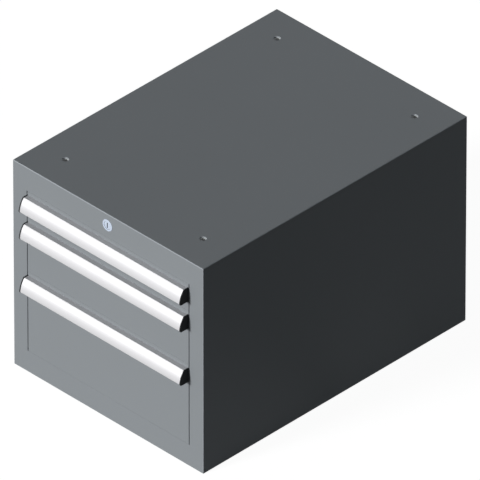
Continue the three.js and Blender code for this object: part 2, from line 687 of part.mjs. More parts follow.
function lockNut() {
  const hexagon = circle(0, LOCK_Z, NUT_FLAT_RADIUS / Math.cos(Math.PI / 6), 6);
  const bore = circle(0, LOCK_Z, LOCK_BARREL_RADIUS + LOCK_GAP, FINE_SEGMENTS);
  return extrude('y', withHoles(hexagon, bore), FACE_BACK_Y, FACE_BACK_Y + NUT_THICKNESS);
}

function lockCam() {
  const rear = CAM_Y + CAM_THICKNESS;
  const half = TAIL_SIZE / 2 + LOCK_GAP;
  const hub = extrude('y', circle(0, LOCK_Z, CAM_HUB_RADIUS), CAM_Y, rear);
  const eye = extrude('y', circle(CRANK_X, CRANK_Z, CRANK_EYE_RADIUS), CAM_Y, rear);
  const share = -COUNTER_OFFSET / CRANK;
  const counter = extrude('y',
    circle(CRANK_X * share, LOCK_Z + (CRANK_Z - LOCK_Z) * share, COUNTER_RADIUS), CAM_Y, rear);
  const pin = extrude('y', circle(CRANK_X, CRANK_Z, CRANK_PIN_RADIUS),
    rear, YOKE_Y + YOKE_SHEET + CRANK_PIN_END);
  const square = extrude('y', rectangle(-half, half, LOCK_Z - half, LOCK_Z + half),
    CAM_Y - CAM_THICKNESS, rear + CAM_THICKNESS);
  return hub.add(eye).add(counter).add(pin).subtract(square);
}

function lockingYoke() {
  const rear = YOKE_Y + YOKE_SHEET;
  const foot = drawerBase(0) + YOKE_LEG_FOOT;
  const top = CRANK_Z + YOKE_BAR_HEIGHT / 2;
  let half = extrude('y', rectangle(YOKE_LEG_X, YOKE_X, foot, top), YOKE_Y, rear);
  DRAWERS.forEach((drawer, index) => {
    const low = drawerBase(index) + FINGER_LIFT;
    const finger = rectangle(YOKE_LEG_X - FINGER_REACH, YOKE_LEG_X + FINGER_REACH, low, low + FINGER_HEIGHT);
    half = half.add(extrude('y', finger, YOKE_Y, rear));
  });
  const bar = extrude('y', rectangle(-YOKE_X, YOKE_X, CRANK_Z - YOKE_BAR_HEIGHT / 2, top), YOKE_Y, rear);
  const grip = CRANK_PIN_RADIUS + SLOT_PLAY;
  const slot = extrude('y',
    roundedRectangle(-CRANK - grip, CRANK_X + grip, CRANK_Z - grip, CRANK_Z + grip, grip - SLOT_PLAY / 2),
    YOKE_Y - YOKE_SHEET, rear + YOKE_SHEET);
  return bar.add(half).add(mirrored(half)).subtract(slot);
}

// The right guide: a folded sheet on the stile that holds the yoke's leg before and behind
function yokeGuide(low) {
  const inside = YOKE_X + GUIDE_PLAY;
  const outside = inside + GUIDE_SHEET;
  const gripX = YOKE_X - GUIDE_GRIP;
  const before = YOKE_Y - GUIDE_PLAY;
  const behind = YOKE_Y + YOKE_SHEET + GUIDE_PLAY;
  const section = polygon([
    [inside, FACE_BACK_Y],
    [outside + GUIDE_FOOT, FACE_BACK_Y],
    [outside + GUIDE_FOOT, FACE_BACK_Y + GUIDE_SHEET],
    [outside, FACE_BACK_Y + GUIDE_SHEET],
    [outside, behind + GUIDE_SHEET],
    [gripX, behind + GUIDE_SHEET],
    [gripX, behind],
    [inside, behind],
    [inside, before],
    [gripX, before],
    [gripX, before - GUIDE_SHEET],
    [inside, before - GUIDE_SHEET],
  ]);
  return extrude('z', section, low, low + GUIDE_HEIGHT);
}

// Assembly

const unit = new THREE.Group();
unit.name = 'drawer_unit';

function addPair(name, right, material) {
  unit.add(piece(`${name}_right`, right, material()));
  unit.add(piece(`${name}_left`, mirrored(right), material()));
}

function addHousing() {
  unit.add(piece('front_frame', frontFrame(), paintedSteel()));
  unit.add(piece('top_plate', topPlate(), paintedSteel()));
  unit.add(piece('base_plate', basePlate(), paintedSteel()));
  unit.add(piece('back_panel', backPanel(), paintedSteel()));
  addPair('side_panel', sidePanel(), paintedSteel);
}

function addLock() {
  unit.add(piece('lock_body', lockBody(), chrome()));
  unit.add(piece('lock_plug', lockPlug(), chrome()));
  unit.add(piece('lock_nut', lockNut(), zincSteel()));
  unit.add(piece('lock_cam', lockCam(), zincSteel()));
  unit.add(piece('locking_yoke', lockingYoke(), zincSteel()));
  addPair('yoke_guide_lower', yokeGuide(drawerBase(0) + GUIDE_LOW), zincSteel);
  addPair('yoke_guide_upper', yokeGuide(drawerBase(DRAWERS.length - 1) + GUIDE_HIGH), zincSteel);
}

function addDrawer({ name, pitch }, base) {
  const place = (manifold) => manifold.translate([0, 0, base]);
  const runner = (manifold) => manifold.translate([0, 0, base + RUNNER_HEIGHT]);
  unit.add(piece(`drawer_front_${name}`, place(drawerFront(pitch)), paintedSteel()));
  unit.add(piece(`drawer_tray_${name}`, place(drawerTray(pitch)), paintedSteel()));
  unit.add(piece(`handle_profile_${name}`, place(handleProfile(pitch)), aluminium()));
  addPair(`handle_cap_${name}`, place(handleCap(pitch)), blackPlastic);
  addPair(`cabinet_rail_${name}`, runner(cabinetRail()), zincSteel);
  addPair(`carriage_${name}`, runner(carriageBar()), zincSteel);
  for (const [seat, y] of Object.entries(ROLLER_Y)) {
    addPair(`roller_${seat}_${name}`, runner(rollerPair(y)), palePlastic);
  }
}

addHousing();
addLock();
DRAWERS.forEach((drawer, index) => addDrawer(drawer, drawerBase(index)));

export default unit;
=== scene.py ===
"""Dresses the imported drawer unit: finishes, small fasteners and fine detail, lights and camera."""

import json
import math

import bmesh
import bpy
from bpy.props import FloatProperty, FloatVectorProperty, PointerProperty
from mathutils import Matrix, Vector


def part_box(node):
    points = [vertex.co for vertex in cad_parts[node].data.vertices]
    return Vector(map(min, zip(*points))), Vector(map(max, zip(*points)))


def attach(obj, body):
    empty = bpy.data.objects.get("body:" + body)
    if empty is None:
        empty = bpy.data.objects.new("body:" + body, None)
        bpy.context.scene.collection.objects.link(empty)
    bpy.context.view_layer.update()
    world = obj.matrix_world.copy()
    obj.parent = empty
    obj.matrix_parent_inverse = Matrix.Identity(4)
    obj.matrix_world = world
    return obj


bl_info = {
    "name": "Under-bench drawer unit",
    "version": (1, 0, 0),
    "blender": (4, 5, 0),
    "location": "View3D > Sidebar > Drawer unit",
    "description": "Finishes and fine detail for a three-drawer steel under-bench unit",
    "category": "Object",
}

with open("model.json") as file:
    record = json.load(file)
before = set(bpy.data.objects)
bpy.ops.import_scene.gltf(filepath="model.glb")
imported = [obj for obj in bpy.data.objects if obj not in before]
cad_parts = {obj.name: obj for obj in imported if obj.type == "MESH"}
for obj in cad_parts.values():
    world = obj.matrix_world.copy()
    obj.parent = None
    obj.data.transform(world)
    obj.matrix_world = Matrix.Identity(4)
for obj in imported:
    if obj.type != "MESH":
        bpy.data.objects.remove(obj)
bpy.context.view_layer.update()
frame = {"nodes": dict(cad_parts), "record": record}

MM = 0.001
DRAWERS = ("bottom", "middle", "top")
SIDES = ("right", "left")
SEATS = ("front", "middle", "rear")
WHITE = (1.0, 1.0, 1.0, 1.0)

# An edge that turns by more than this is shaded sharp, and rounded where its piece has a bevel
EDGE_ANGLE = math.radians(35.0)

# Sections of the fasteners' heads, as [radius, height]: a rivet's over the end of its axle, and a screw's
# over the wall behind the foot of its bracket
RIVET_HEAD = [(0.0, 0.05 * MM), (2.4 * MM, 0.05 * MM), (2.2 * MM, 0.3 * MM), (1.4 * MM, 0.45 * MM),
              (0.0, 0.5 * MM)]
SCREW_HEAD = [(0.0, 4.4 * MM), (1.6 * MM, 4.3 * MM), (3.4 * MM, 3.8 * MM), (4.2 * MM, 2.6 * MM),
              (4.2 * MM, 1.9 * MM), (0.0, 1.9 * MM)]


def corners(node):
    """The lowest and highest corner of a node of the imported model, as vectors."""
    low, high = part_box(node)
    return Vector(low), Vector(high)


def opening(name):
    """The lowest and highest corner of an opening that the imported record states, as vectors."""
    for entry in frame["record"]["physics"]["openings"]:
        if entry["name"] == name:
            return [Vector(corner) for corner in entry["box_m"]]
    raise ValueError("the record states no opening " + name)


# Shader graphs

class Socket:
    """A node's output that can be used in arithmetic; each operator adds a Math node."""

    def __init__(self, graph, socket):
        self.graph = graph
        self.socket = socket

    def _math(self, operation, first, second):
        return self.graph.node("ShaderNodeMath", {"operation": operation}, {0: first, 1: second})

    def __add__(self, other):
        return self._math("ADD", self, other)

    __radd__ = __add__

    def __sub__(self, other):
        return self._math("SUBTRACT", self, other)

    def __rsub__(self, other):
        return self._math("SUBTRACT", other, self)

    def __mul__(self, other):
        return self._math("MULTIPLY", self, other)

    __rmul__ = __mul__

    def larger(self, other):
        return self._math("MAXIMUM", self, other)

    def above(self, limit):
        """1 where the value is above a limit, and 0 elsewhere."""
        return self._math("GREATER_THAN", self, limit)


class Graph:
    """A node tree that is built by expressions."""

    def __init__(self, tree):
        self.tree = tree

    def node(self, kind, settings=None, inputs=None, output=0):
        """Adds a node: first its settings, then the values or links of its sockets."""
        made = self.tree.nodes.new(kind)
        for key, value in (settings or {}).items():
            if key == "stops":
                self._set_stops(made.color_ramp, value)
            else:
                setattr(made, key, value)
        for key, value in (inputs or {}).items():
            self.feed(made.inputs[key], value)
        return Socket(self, made.outputs[output])

    def _set_stops(self, ramp, stops):
        while len(ramp.elements) < len(stops):
            ramp.elements.new(0.5)
        for element, (position, level) in zip(ramp.elements, stops):
            element.position = position
            element.color = (level, level, level, 1.0)

    def vector_math(self, operation, *vectors, output=0):
        inputs = dict(enumerate(vectors))
        return self.node("ShaderNodeVectorMath", {"operation": operation}, inputs, output)

    def feed(self, target, value):
        """Links a socket's input to a value that varies, or sets it to one that doesn't."""
        if isinstance(value, Socket):
            self.tree.links.new(value.socket, target)
        else:
            target.default_value = value


class Finish(Graph):
    """A material built from its principled shader outwards."""

    def __init__(self, name, **constants):
        self.material = bpy.data.materials.new(name)
        self.material.use_nodes = True
        super().__init__(self.material.node_tree)
        self.shader = self.tree.nodes["Principled BSDF"]
        self.output = self.tree.nodes["Material Output"]
        for socket, value in constants.items():
            self.shader.inputs[socket.replace("_", " ")].default_value = value

    def place(self):
        """A position on the object, in metres."""
        return self.node("ShaderNodeTexCoord", output="Object")

    def stretched(self, scale):
        """The position with each direction scaled by its own factor."""
        return self.vector_math("MULTIPLY", self.place(), scale)

    def lengths(self, vector):
        """How far a vector reaches along X, Y and Z, either way."""
        size = self.vector_math("ABSOLUTE", vector)
        split = self.node("ShaderNodeSeparateXYZ", {}, {0: size}).socket.node
        return [Socket(self, output) for output in split.outputs]

    def turning(self):
        """How far the surface turns off the object's directions: 0 on flats, 1 on round edges."""
        flat, rounded = 0.005, 0.07
        across = self.lengths(self.node("ShaderNodeTexCoord", output="Normal"))
        steepest = across[0].larger(across[1]).larger(across[2])
        return self.ramp(1 - steepest, (flat, 0.0), (rounded, 1.0))

    def near_outline(self, low, high, margin):
        """1 within a margin of the sides, the top or the bottom of a box, and 0 further in."""
        middle = tuple((low + high) / 2)
        reach = (high - low) / 2
        across = self.lengths(self.vector_math("SUBTRACT", self.place(), middle))
        side = across[0].above(reach.x - margin)
        end = across[2].above(reach.z - margin)
        return side.larger(end)

    def noise(self, scale, detail=2.0, roughness=0.5, vector=None):
        inputs = {"Vector": vector or self.place(), "Scale": scale, "Detail": detail,
                  "Roughness": roughness}
        return self.node("ShaderNodeTexNoise", {}, inputs, "Fac")

    def speckle(self, scale, output="Distance"):
        return self.node("ShaderNodeTexVoronoi", {}, {"Vector": self.place(), "Scale": scale}, output)

    def ramp(self, value, *stops):
        return self.node("ShaderNodeValToRGB", {"stops": stops}, {"Fac": value})

    def blend(self, factor, low, high):
        """A colour between two, by a factor."""
        mix = self.node("ShaderNodeMix", {"data_type": "RGBA"}).socket.node
        sockets = {socket.identifier: socket for socket in mix.inputs}
        self.feed(sockets["Factor_Float"], factor)
        for key, colour in (("A_Color", low), ("B_Color", high)):
            self.feed(sockets[key], colour if isinstance(colour, Socket) else (*colour, 1.0))
        outputs = {socket.identifier: socket for socket in mix.outputs}
        return Socket(self, outputs["Result_Color"])

    def shade(self, socket, value):
        self.feed(self.shader.inputs[socket], value)

    def relief(self, height, depth, strength):
        """Raises the surface by a height of 0 to 1 times a depth in metres."""
        inputs = {"Height": height, "Distance": depth, "Strength": strength}
        self.shade("Normal", self.node("ShaderNodeBump", {}, inputs, "Normal"))


def scaled(colour, factor):
    return tuple(min(1.0, channel * factor) for channel in colour)


def around(middle, spread, factor):
    """A number that drifts by a spread about its middle, by a factor of 0 to 1."""
    return middle - spread / 2 + factor * spread


def powder_coat(name, colour, variation, roughness, outline=None):
    """Fine-textured paint: a soft orange peel, tiny pits and a faint drift of tone.

    Rounded edges are painted a little paler, as a painted highlight. The painted highlight is stronger
    along an outline, where its lowest and highest corner are given.
    """
    edge_highlight_gain, outline_highlight_gain = 1.15, 1.8
    highlight_outline_width = 12.0 * MM
    finish = Finish(name, Metallic=0.0, Specular_IOR_Level=0.15)
    drift = finish.noise(7.0, detail=3.0)
    peel = finish.noise(620.0)
    grain = finish.noise(2600.0, detail=1.0)
    tone = drift * 0.55 + grain * 0.45
    plain = finish.blend(tone, scaled(colour, 1 - variation), scaled(colour, 1 + variation))
    # Painted highlight: rounded edges get a paler colour than the flats
    edge = scaled(colour, edge_highlight_gain)
    # Within a margin of the outline, if one is given, the painted highlight is paler still
    if outline:
        near = finish.near_outline(*outline, highlight_outline_width)
        edge = finish.blend(near, edge, scaled(colour, outline_highlight_gain))
    finish.shade("Base Color", finish.blend(finish.turning(), plain, edge))
    finish.shade("Roughness", around(roughness, 0.12, peel))
    finish.relief(peel * 0.7 + grain * 0.3, depth=0.05 * MM, strength=0.5)
    return finish.material


def anodised(name, colour, roughness):
    """Satin extruded aluminium, with faint draw lines along the bar and a fine etched grain.

    The milky oxide layer scatters as much light as the metal below it mirrors.
    """
    finish = Finish(name, Metallic=0.5)
    lines = finish.noise(1.0, roughness=0.6, vector=finish.stretched((6.0, 2400.0, 2400.0)))
    etch = finish.noise(3200.0, detail=1.0)
    streak = finish.ramp(lines, (0.3, 0.0), (0.7, 1.0))
    finish.shade("Base Color", finish.blend(streak, scaled(colour, 0.975), colour))
    finish.shade("Roughness", around(roughness, 0.1, lines))
    finish.relief(lines * 0.7 + etch * 0.3, depth=0.02 * MM, strength=0.35)
    return finish.material


def moulded(name, colour, roughness, grain_scale, gloss):
    """Moulded plastic with a spark-eroded grain."""
    finish = Finish(name, Metallic=0.0, Specular_IOR_Level=gloss)
    grain = finish.speckle(grain_scale)
    cloud = finish.noise(90.0, detail=3.0)
    finish.shade("Base Color", finish.blend(cloud, scaled(colour, 0.86), scaled(colour, 1.14)))
    finish.shade("Roughness", around(roughness, 0.1, cloud))
    finish.relief(grain, depth=0.04 * MM, strength=0.4)
    return finish.material


def zinc_plate(name, colour, metallic=0.85):
    """Bright zinc on rolled steel: rolling lines, cloudy passivation and small flecks."""
    finish = Finish(name, Metallic=metallic)
    rolled = finish.noise(1.0, roughness=0.6, vector=finish.stretched((1500.0, 30.0, 1500.0)))
    cloud = finish.noise(38.0, detail=4.0, roughness=0.6)
    fleck = finish.speckle(420.0, "Color")
    level = finish.node("ShaderNodeRGBToBW", {}, {"Color": fleck})
    tone = cloud * 0.5 + level * 0.3 + rolled * 0.2
    warm = (colour[0] * 1.08, colour[1] * 1.05, colour[2] * 0.96)
    finish.shade("Base Color", finish.blend(tone, scaled(colour, 0.8), warm))
    finish.shade("Roughness", around(0.37, 0.18, cloud))
    finish.relief(rolled * 0.6 + level * 0.4, depth=0.02 * MM, strength=0.4)
    return finish.material


def turned_chrome(name, colour, centre):
    """Nickel-chrome with the fine rings that a lathe leaves about the lock's axis."""
    across_axis = (1.0, 0.0, 1.0)
    radians_per_metre = 18000.0
    finish = Finish(name, Metallic=1.0)
    offset = finish.vector_math("SUBTRACT", finish.place(), centre)
    flat = finish.vector_math("MULTIPLY", offset, across_axis)
    radius = finish.vector_math("LENGTH", flat, output="Value")
    rings = finish.node("ShaderNodeMath", {"operation": "SINE"}, {0: radius * radians_per_metre})
    haze = finish.noise(260.0, detail=3.0)
    finish.shade("Base Color", finish.blend(haze, scaled(colour, 0.93), scaled(colour, 1.04)))
    finish.shade("Roughness", around(0.21, 0.1, haze))
    finish.relief(rings * 0.5 + 0.5, depth=0.006 * MM, strength=0.3)
    return finish.material


def seen_directly(graph):
    """1 for what the camera sees, straight or in gloss and glass, and 0 for light on matt surfaces."""
    path = graph.tree.nodes.new("ShaderNodeLightPath")
    keys = ("Is Camera Ray", "Is Glossy Ray", "Is Transmission Ray", "Diffuse Depth")
    camera, gloss, glass, bounces = [Socket(graph, path.outputs[key]) for key in keys]
    return camera.larger(gloss).larger(glass) * (1 - bounces).larger(0)


def floor_paper(name, colour, glow_strength):
    """Pale paper that shows white to the camera and in gloss, and keeps the object's shadow."""
    finish = Finish(name, Roughness=0.95, Specular_IOR_Level=0.0)
    fibre = finish.noise(300.0, detail=4.0)
    finish.shade("Base Color", finish.blend(fibre, scaled(colour, 0.97), colour))
    finish.relief(fibre, depth=0.05 * MM, strength=0.2)
    direct = seen_directly(finish)
    paper = Socket(finish, finish.shader.outputs[0])
    glow = finish.node("ShaderNodeEmission", {}, {"Color": WHITE, "Strength": glow_strength})
    both = finish.node("ShaderNodeAddShader", {}, {0: paper, 1: glow})
    shown = finish.node("ShaderNodeMixShader", {}, {0: direct, 1: paper, 2: both})
    finish.feed(finish.output.inputs["Surface"], shown)
    return finish.material


# Mesh building

class Build:
    """Gathers solids into one mesh object."""

    def __init__(self):
        self.mesh = bmesh.new()

    def turned(self, profile, axis, centre, segments=20):
        """Turns a [radius, height] section about an axis, on which it starts and ends."""
        axis = Vector(axis).normalized()
        basis = axis.to_track_quat("Z", "Y").to_matrix()
        angles = [2 * math.pi * index / segments for index in range(segments)]
        spokes = [basis @ Vector((math.cos(angle), math.sin(angle), 0.0)) for angle in angles]
        rings = []
        for radius, height in profile:
            if radius:
                points = [Vector(centre) + spoke * radius + axis * height for spoke in spokes]
            else:
                points = [Vector(centre) + axis * height]
            rings.append([self.mesh.verts.new(point) for point in points])
        for low, high in zip(rings, rings[1:]):
            self._bridge(low, high, segments)

    def _bridge(self, low, high, segments):
        for index in range(segments):
            after = (index + 1) % segments
            if len(low) == 1:
                self.mesh.faces.new((low[0], high[after], high[index]))
            elif len(high) == 1:
                self.mesh.faces.new((low[index], low[after], high[0]))
            else:
                self.mesh.faces.new((low[index], low[after], high[after], high[index]))

    def prism(self, outline, low, high, axis="Y"):
        """Runs a closed outline, given in the plane across an axis, from one place on it to another."""
        order = {"Y": (0, 2, 1), "Z": (0, 1, 2)}[axis]

        def point(u, v, w):
            return Vector([(u, v, w)[index] for index in order])

        ends = [[self.mesh.verts.new(point(u, v, w)) for u, v in outline] for w in (low, high)]
        count = len(outline)
        self.mesh.faces.new(ends[0][::-1])
        self.mesh.faces.new(ends[1])
        for index in range(count):
            after = (index + 1) % count
            self.mesh.faces.new((ends[0][index], ends[0][after], ends[1][after], ends[1][index]))

    def coil(self, section, centre, pitch, turns, segments=28):
        """Winds a closed [radius, height] section down a vertical axis, as a right-hand thread."""
        sections = []
        for index in range(round(turns * segments) + 1):
            angle = -2 * math.pi * index / segments
            drop = pitch * index / segments
            spoke = Vector((math.cos(angle), math.sin(angle), 0.0))
            points = [Vector(centre) + spoke * radius + Vector((0.0, 0.0, height - drop))
                      for radius, height in section]
            sections.append([self.mesh.verts.new(point) for point in points])
        self.mesh.faces.new(sections[0])
        self.mesh.faces.new(sections[-1][::-1])
        for before, after in zip(sections, sections[1:]):
            for index in range(len(section)):
                beside = (index + 1) % len(section)
                self.mesh.faces.new((before[index], after[index], after[beside], before[beside]))

    def finish(self, name, material, body, slot, bevel=0.0):
        """Makes the object, closes its normals outwards and lets it ride on a body."""
        bmesh.ops.recalc_face_normals(self.mesh, faces=self.mesh.faces)
        data = bpy.data.meshes.new(name)
        self.mesh.to_mesh(data)
        self.mesh.free()
        data.materials.append(material)
        piece = bpy.data.objects.new(name, data)
        bpy.context.scene.collection.objects.link(piece)
        if bevel:
            round_edges(piece, bevel)
        smooth_by_angle(piece)
        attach(piece, body)


def round_edges(piece, width, segments=2):
    bevel = piece.modifiers.new("Rounded edges", "BEVEL")
    bevel.width = width
    bevel.segments = segments
    bevel.limit_method = "ANGLE"
    bevel.angle_limit = EDGE_ANGLE


def smooth_by_angle(piece):
    piece.data.shade_smooth()
    piece.data.set_sharp_from_angle(angle=EDGE_ANGLE)


def dress(node, material, bevel=0.0, segments=2):
    """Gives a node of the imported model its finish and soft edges."""
    piece = frame["nodes"][node]
    piece.data.materials.clear()
    piece.data.materials.append(material)
    smooth_by_angle(piece)
    if bevel:
        round_edges(piece, bevel, segments)


def finish_settings():
    return bpy.context.scene.drawer_unit_finish


def stage_settings():
    return bpy.context.scene.drawer_unit_stage


# Sizes and colours

class FinishSettings(bpy.types.PropertyGroup):
    paint: FloatVectorProperty(name="Paint", description="Colour of the powder coat", subtype="COLOR",
                               default=(0.2826, 0.3033, 0.3206), min=0.0, max=1.0)
    paint_roughness: FloatProperty(name="Paint roughness", description="How matt the powder coat is",
                                   default=0.6, min=0.0, max=1.0, subtype="FACTOR")
    handle: FloatVectorProperty(name="Handle", description="Colour of the handle bars", subtype="COLOR",
                                default=(0.68, 0.676, 0.69), min=0.0, max=1.0)
    cap: FloatVectorProperty(name="End cap", description="Colour of the handles' end caps",
                             subtype="COLOR", default=(0.0105, 0.0118, 0.013), min=0.0, max=1.0)
    zinc: FloatVectorProperty(name="Zinc", description="Colour of the plated rails and lock works",
                              subtype="COLOR", default=(0.56, 0.58, 0.6), min=0.0, max=1.0)
    chrome: FloatVectorProperty(name="Lock", description="Colour of the lock's face", subtype="COLOR",
                                default=(0.61, 0.69, 0.82), min=0.0, max=1.0)
    shutter: FloatVectorProperty(name="Shutter", description="Colour of the shutter inside the key way",
                                 subtype="COLOR", default=(0.2, 0.215, 0.23), min=0.0, max=1.0)
    nylon: FloatVectorProperty(name="Rollers", description="Colour of the roller treads",
                               subtype="COLOR", default=(0.78, 0.76, 0.69), min=0.0, max=1.0)
    insert: FloatVectorProperty(name="Thread inserts",
                                description="Colour of the wound thread inserts in the top",
                                subtype="COLOR", default=(0.552, 0.582, 0.612), min=0.0, max=1.0)
    thread_bore: FloatProperty(name="Thread bore",
                               description="Diameter over the crests of the inserts' thread",
                               default=0.0085, min=0.003, max=0.02, unit="LENGTH")
    thread_pitch: FloatProperty(name="Thread pitch",
                                description="Rise of the inserts' thread in one turn",
                                default=0.0015, min=0.0005, max=0.003, unit="LENGTH")
    tray_clearance: FloatProperty(name="Tray clearance",
                                  description="From a tray's stated interior to its side walls",
                                  default=0.0009, min=0.0, max=0.01, unit="LENGTH")
    bead_spacing: FloatProperty(name="Bead spacing",
                                description="Distance between the beads in the trays' walls",
                                default=0.017, min=0.008, max=0.1, unit="LENGTH")
    edge: FloatProperty(name="Edge radius", description="Softened edges of plastic and machined pieces",
                        default=0.0004, min=0.0, max=0.002, unit="LENGTH")


class StageSettings(bpy.types.PropertyGroup):
    lens: FloatProperty(name="Lens", description="Focal length of the camera", default=1650.0,
                        min=50.0, max=1700.0, unit="CAMERA")
    view_width: FloatProperty(name="View width", description="Width of the picture at the object",
                              default=0.73597, min=0.1, max=3.0, unit="LENGTH")
    azimuth: FloatProperty(name="Azimuth",
                           description="Direction that the camera looks from, from the front",
                           default=math.radians(44.918), subtype="ANGLE")
    elevation: FloatProperty(name="Elevation", description="Height of the camera over the horizon",
                             default=math.radians(35.253), subtype="ANGLE")
    target: FloatVectorProperty(name="Target", description="Point that the camera looks at",
                                default=(-0.00091, 0.00032, 0.19123), subtype="TRANSLATION")
    key_strength: FloatProperty(name="Key light", description="Strength of the soft lamp from the front",
                                default=2.8, min=0.0, max=20.0)
    key_direction: FloatVectorProperty(name="Key direction",
                                       description="Way from the object to the lamp",
                                       default=(-0.22, -0.92, 0.288), subtype="DIRECTION")
    key_spread: FloatProperty(name="Key spread",
                              description="Angle that the lamp fills, which softens the shadows",
                              default=math.radians(14.0), min=0.0, max=math.pi, subtype="ANGLE")
    sky_level: FloatProperty(name="Fill", description="Level of the even light from all round",
                             default=0.0685, min=0.0, max=1.0, subtype="FACTOR")
    sky: FloatVectorProperty(name="Fill colour", description="Colour of the even light from all round",
                             subtype="COLOR", default=(0.865, 0.941, 1.0), min=0.0, max=1.0)
    floor: FloatVectorProperty(name="Floor", description="Colour of the floor in its own bounce light",
                               subtype="COLOR", default=(0.16, 0.16, 0.16), min=0.0, max=1.0)
    floor_glow: FloatProperty(name="Floor glow",
                              description="White that the floor adds where it is seen directly",
                              default=0.955, min=0.0, max=1.0, subtype="FACTOR")


# Operators

class UNIT_OT_stage(bpy.types.Operator):
    """Sets the camera, the lamp, the even fill and the pale floor"""
    bl_idname = "drawer_unit.stage"
    bl_label = "Stage"

    def execute(self, context):
        scene = context.scene
        scene.view_settings.view_transform = "Standard"
        values = stage_settings()
        self.make_camera(scene, values)
        self.make_key(scene, values)
        self.make_sky(scene, values)
        self.make_floor(scene, values)
        return {"FINISHED"}

    def make_camera(self, scene, values):
        data = bpy.data.cameras.new("Camera")
        data.lens = values.lens
        data.sensor_width = 36.0
        distance = values.view_width * values.lens / data.sensor_width
        level = math.cos(values.elevation)
        away = Vector((math.sin(values.azimuth) * level, -math.cos(values.azimuth) * level,
                       math.sin(values.elevation)))
        target = Vector(values.target)
        data.clip_start = 0.1
        data.clip_end = distance * 4
        camera = bpy.data.objects.new("Camera", data)
        camera.location = target + away * distance
        camera.rotation_euler = (-away).to_track_quat("-Z", "Y").to_euler()
        scene.collection.objects.link(camera)
        scene.camera = camera

    def make_key(self, scene, values):
        """A broad lamp, so far away that only its direction counts."""
        shown_at = 3.0
        data = bpy.data.lights.new("Key", "SUN")
        data.energy = values.key_strength
        data.angle = values.key_spread
        lamp = bpy.data.objects.new("Key", data)
        direction = Vector(values.key_direction)
        lamp.rotation_euler = direction.to_track_quat("Z", "Y").to_euler()
        lamp.location = direction * shown_at
        scene.collection.objects.link(lamp)

    def make_sky(self, scene, values):
        """A dim even fill that shows as white to the camera and in gloss."""
        world = bpy.data.worlds.new("Studio")
        world.use_nodes = True
        sky = Graph(world.node_tree)
        dim = {"Color": (*values.sky, 1.0), "Strength": values.sky_level}
        fill = sky.node("ShaderNodeBackground", {}, dim)
        white = sky.node("ShaderNodeBackground", {}, {"Color": WHITE, "Strength": 1.0})
        shown = sky.node("ShaderNodeMixShader", {}, {0: seen_directly(sky), 1: fill, 2: white})
        sky.feed(sky.tree.nodes["World Output"].inputs["Surface"], shown)
        scene.world = world

    def make_floor(self, scene, values):
        """A wide sheet of paper, dropped a little so that it shares no plane with the base."""
        reach = 60.0
        drop = 0.5 * MM
        floor = bmesh.new()
        bmesh.ops.create_grid(floor, x_segments=2, y_segments=2, size=reach)
        data = bpy.data.meshes.new("Floor")
        floor.to_mesh(data)
        floor.free()
        data.materials.append(floor_paper("Pale floor", tuple(values.floor), values.floor_glow))
        piece = bpy.data.objects.new("Floor", data)
        piece.location = (0.0, 0.0, -drop)
        scene.collection.objects.link(piece)


class UNIT_OT_housing(bpy.types.Operator):
    """Paints the housing and the drawer fronts, and winds the thread inserts of the top"""
    bl_idname = "drawer_unit.housing"
    bl_label = "Housing"

    def execute(self, context):
        values = finish_settings()
        colour = tuple(values.paint)
        variation = 0.035
        matt = values.paint_roughness
        # The housing's coat has a strong painted highlight on the front frame's outer edges; the fronts'
        # coat has only the milder one
        paint = powder_coat("Housing powder coat", colour, variation, matt, corners("front_frame"))
        front_paint = powder_coat("Front powder coat", colour, variation, matt)
        for node in ("front_frame", "top_plate", "base_plate", "back_panel"):
            dress(node, paint)
        for side in SIDES:
            dress("side_panel_" + side, paint)
        for drawer in DRAWERS:
            dress("drawer_front_" + drawer, front_paint)
        self.add_threads(values)
        return {"FINISHED"}

    def add_threads(self, values):
        """A wound thread insert in each of the four collars of the top."""
        steel = zinc_plate("Thread insert steel", tuple(values.insert), metallic=0.1)
        low, high = corners("top_plate")
        crest = values.thread_bore / 2
        depth_in_pitches, half_height_in_pitches = 0.585, 0.49
        root = crest + values.thread_pitch * depth_in_pitches
        half = values.thread_pitch * half_height_in_pitches
        section = [(root, half), (crest, 0.0), (root, -half)]
        start_below_face, free_height = 1.6 * MM, 1.5 * MM
        turns = math.floor((high.z - low.z - free_height) / values.thread_pitch)
        build = Build()
        for place in ("front_left", "front_right", "rear_left", "rear_right"):
            hole = opening("top_hole_" + place)
            centre = (hole[0] + hole[1]) / 2
            build.coil(section, (centre.x, centre.y, high.z - start_below_face),
                       values.thread_pitch, turns)
        build.finish("thread_inserts", steel, "housing", "zinc_steel")


